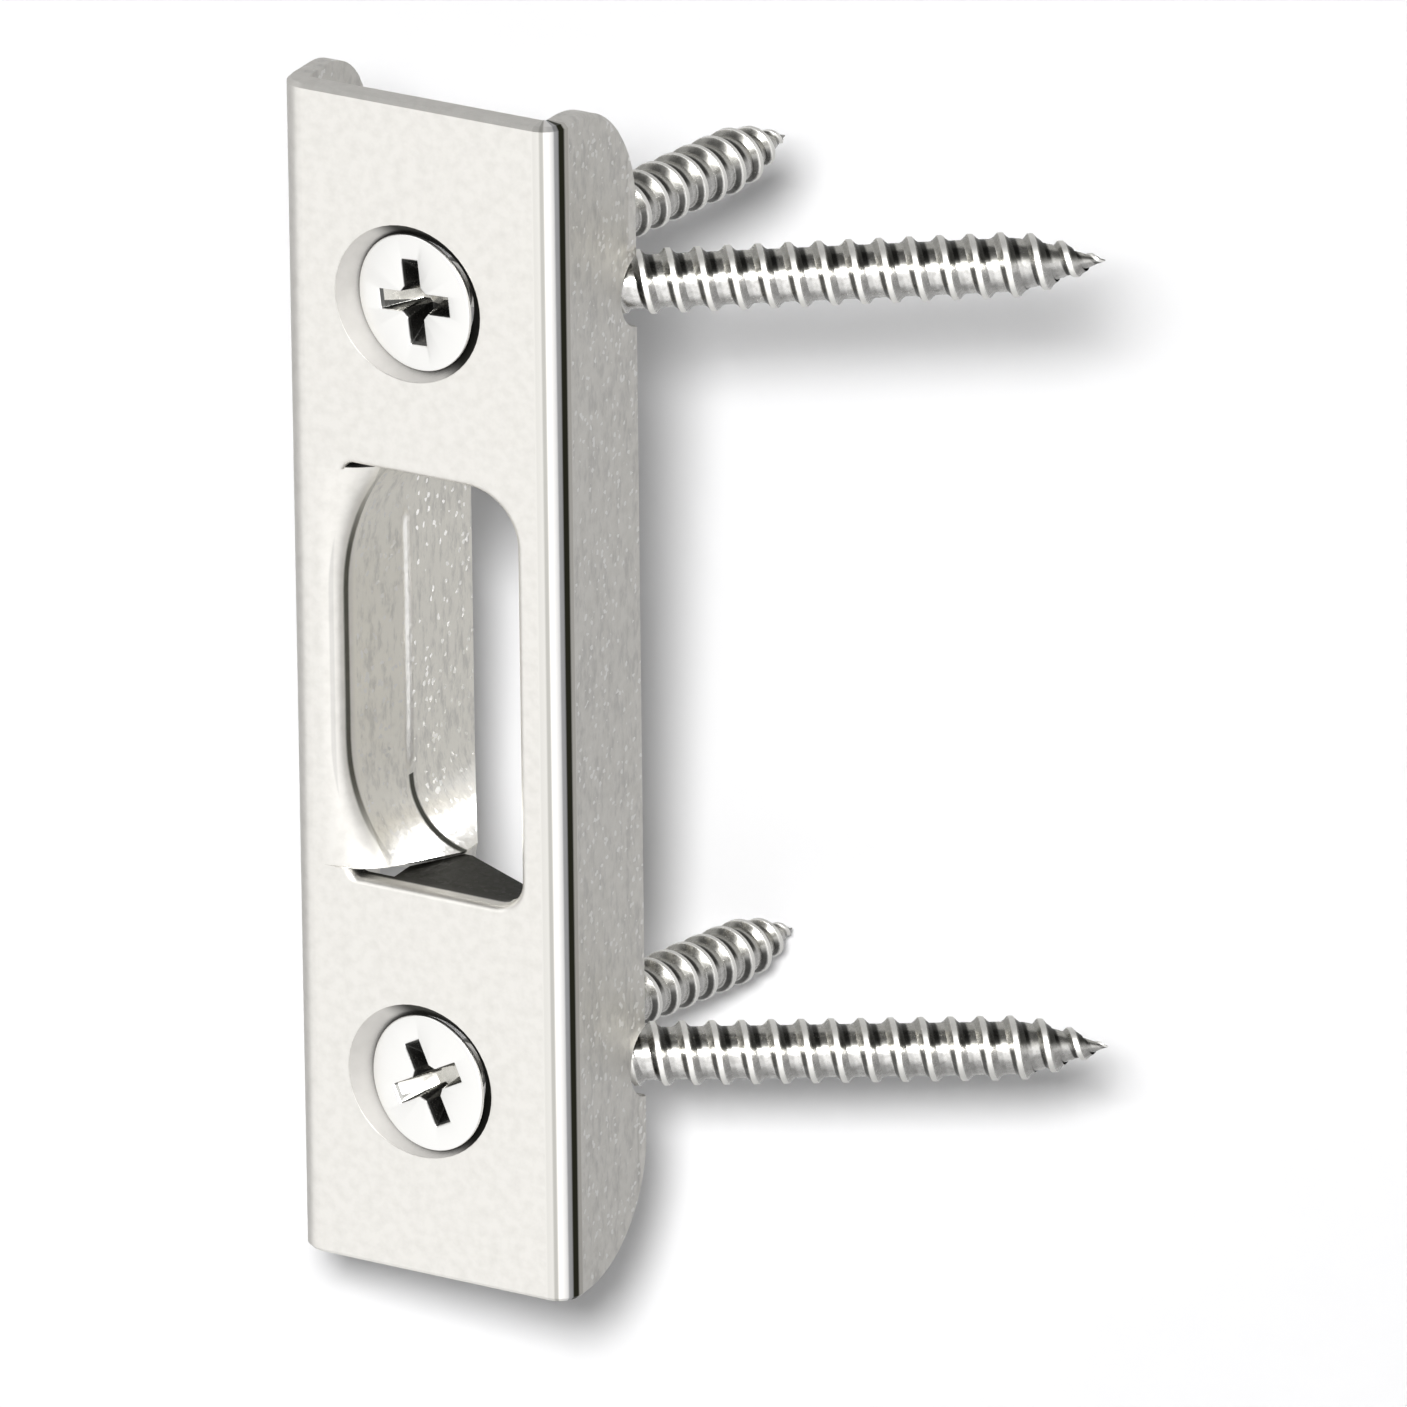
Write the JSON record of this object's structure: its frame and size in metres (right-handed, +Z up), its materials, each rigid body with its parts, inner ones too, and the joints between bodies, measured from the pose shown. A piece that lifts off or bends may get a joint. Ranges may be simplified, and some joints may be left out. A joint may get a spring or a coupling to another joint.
{
  "type": "door strike plate",
  "caption": "Folded door strike plate with a bolt window, a curved tongue pressed back from it, two side flanges, and flat-head wood screws through its face and over its deeper flange.",
  "frame": {"origin": "centre of the bolt window, on the front surface of the plate's face", "axes": "+Z up along the plate's length; +Y back into the door jamb, so the face looks along -Y; +X to the right seen from the front, towards the deeper flange"},
  "size_m": [0.0507, 0.0416, 0.0889],
  "materials": {
    "plate": "satin nickel-coloured plating, fine mottle",
    "screws": "bright plating"
  },
  "bodies": {
    "root": {"strike_plate": "plate", "face_screw_upper": "screws", "face_screw_lower": "screws", "angled_screw_upper": "screws", "angled_screw_lower": "screws"}
  },
  "joints": []
}
